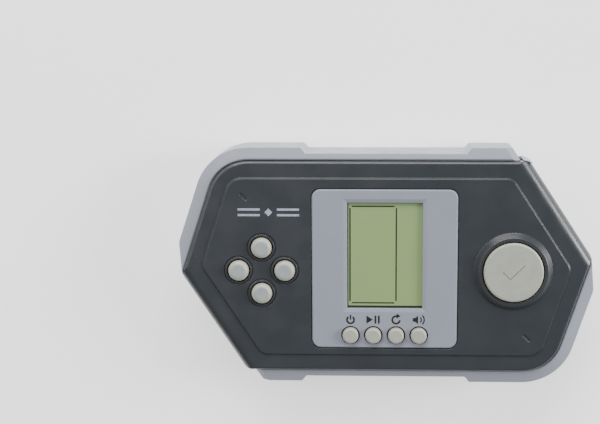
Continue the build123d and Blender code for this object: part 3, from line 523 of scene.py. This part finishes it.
def dome(name, radius, x, y, foot, top, steps=48):
    """A hollow rubber dome, turned about an upright axis."""
    inner, crown, ceiling = radius - DOME_WALL, radius - DOME_TAPER, foot + HOLLOW_HEIGHT
    pill = inner - PILL_INSET
    rounding = [(crown - DOME_ROUND * (1 - math.cos(math.radians(angle))),
                 top - DOME_ROUND * (1 - math.sin(math.radians(angle))))
                for angle in (10, 30, 50, 70, 90)]
    profile = [
        (0, ceiling - PILL_HEIGHT), (pill, ceiling - PILL_HEIGHT), (pill, ceiling),
        (inner, ceiling), (inner, foot), (radius, foot), (radius, foot + DOME_FOOT),
        *rounding, (0, top),
    ]
    mesh = bmesh.new()
    rings = []
    for ring_radius, height in profile:
        count = steps if ring_radius > 0 else 1
        angles = [2 * math.pi * i / count for i in range(count)]
        rings.append([mesh.verts.new(((x + ring_radius * math.cos(a)) * MM,
                                      (y + ring_radius * math.sin(a)) * MM, height * MM))
                      for a in angles])
    for lower, upper in zip(rings, rings[1:]):
        for i in range(steps):
            ring = (lower[i % len(lower)], lower[(i + 1) % len(lower)],
                    upper[(i + 1) % len(upper)], upper[i % len(upper)])
            mesh.faces.new(list(dict.fromkeys(ring)))
    return meshed(name, mesh, silicone, "case")


for mat_name, (dome_radius, travel, keys_over) in MATS.items():
    mat_low, mat_high = node_box(mat_name)
    mat_middle, mat_size = (mat_low + mat_high) / 2, mat_high - mat_low
    mat_corner = ROW_MAT_CORNER if mat_name == "row_mat" else mat_size.x / 2
    foot = mat_low.z + MAT_THICKNESS
    spots = [node_middle(key + "_key") for key in keys_over]
    bore = 2 * (dome_radius - DOME_WALL)
    flat = sheet(mat_name + "_sheet",
                 loop(mat_middle.x, mat_middle.y, mat_size.x, mat_size.y, mat_corner),
                 [loop(spot.x, spot.y, bore, bore, bore / 2) for spot in spots], mat_low.z)
    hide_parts(mat_name)
    for key, spot in zip(keys_over, spots):
        soft = dome(key + "_dome", dome_radius, spot.x, spot.y, foot, mat_high.z)
        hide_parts(mat_name)
        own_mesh(soft)


# ---- floor, light and camera -----------------------------------------------------------------
def floor_look():
    look = Look("floor_look")
    drift = look.span(look.noise(60, 3), 0.3, 0.7)
    look.set("Base Color", look.mix(drift, (0.9, 0.905, 0.91, 1), (0.93, 0.93, 0.93, 1)))
    look.set("Emission Color", (1, 1, 1, 1))
    look.set("Emission Strength", 0.8)
    look.set("Roughness", 0.8)
    look.set("Normal", look.bump(look.noise(1.5, 3), 0.01))
    return look.material


FLOOR_SIZE_M = 6
FLOOR_GAP = 0.05            # so that the floor and the back face don't coincide
bpy.ops.mesh.primitive_plane_add(size=FLOOR_SIZE_M, location=(0, 0, -FLOOR_GAP * MM))
floor = bpy.context.object
floor.name = "floor"
floor.data.materials.append(floor_look())


def soft_light(name, place_m, width, height, watts):
    """A rectangular softbox that faces the game."""
    light = bpy.data.lights.new(name, "AREA")
    light.shape = "RECTANGLE"
    light.size = width
    light.size_y = height
    light.energy = watts
    made = bpy.data.objects.new(name, light)
    made.location = place_m
    made.rotation_euler = (-Vector(place_m)).to_track_quat("-Z", "Y").to_euler()
    bpy.context.scene.collection.objects.link(made)


soft_light("top_softbox", (-0.15, 1.1, 0.75), width=1.2, height=0.7, watts=22)
soft_light("left_softbox", (-0.7, 0.25, 1.0), width=0.7, height=0.7, watts=5)
soft_light("right_softbox", (1.15, 0.2, 0.55), width=0.5, height=0.5, watts=18)

world = bpy.data.worlds.new("studio")
world.use_nodes = True
background = world.node_tree.nodes["Background"]
background.inputs["Color"].default_value = (1, 1, 1, 1)
background.inputs["Strength"].default_value = 0.3
bpy.context.scene.world = world

AIM = Vector((2.1, 1.0, 23.2)) * MM        # the photograph's perspective centre on the shell
DISTANCE = 0.459
LEAN = math.radians(11.0)                  # the camera leans from the face's normal to the top
FOCAL = 79.68
SENSOR = 36.0
ROLL = math.radians(0.3)
AIM_RIGHT, AIM_BELOW = 0.153, 0.088        # where that centre lies, in picture widths
TURN_SHARE = 0.5                           # part of it reached by turning the camera

toward = Vector((0, math.sin(LEAN), math.cos(LEAN)))
facing = Matrix((Vector((1, 0, 0)), Vector((0, math.cos(LEAN), -math.sin(LEAN))), toward))
facing = facing.transposed()
yaw = math.atan(TURN_SHARE * AIM_RIGHT * SENSOR / FOCAL)
pitch = math.atan(TURN_SHARE * AIM_BELOW * SENSOR / FOCAL)
turn = Matrix.Rotation(ROLL, 3, "Z") @ Matrix.Rotation(yaw, 3, "Y") @ Matrix.Rotation(pitch, 3, "X")
camera = bpy.data.objects.new("camera", bpy.data.cameras.new("camera"))
camera.matrix_world = (Matrix.Translation(AIM + toward * DISTANCE)
                       @ (facing @ turn).to_4x4())
camera.data.lens = FOCAL
camera.data.sensor_width = SENSOR
camera.data.clip_start = 0.01
seen = (facing @ turn).transposed() @ (-toward * DISTANCE)
camera.data.shift_x = FOCAL / SENSOR * seen.x / -seen.z - AIM_RIGHT
camera.data.shift_y = FOCAL / SENSOR * seen.y / -seen.z + AIM_BELOW
bpy.context.scene.collection.objects.link(camera)
bpy.context.scene.camera = camera
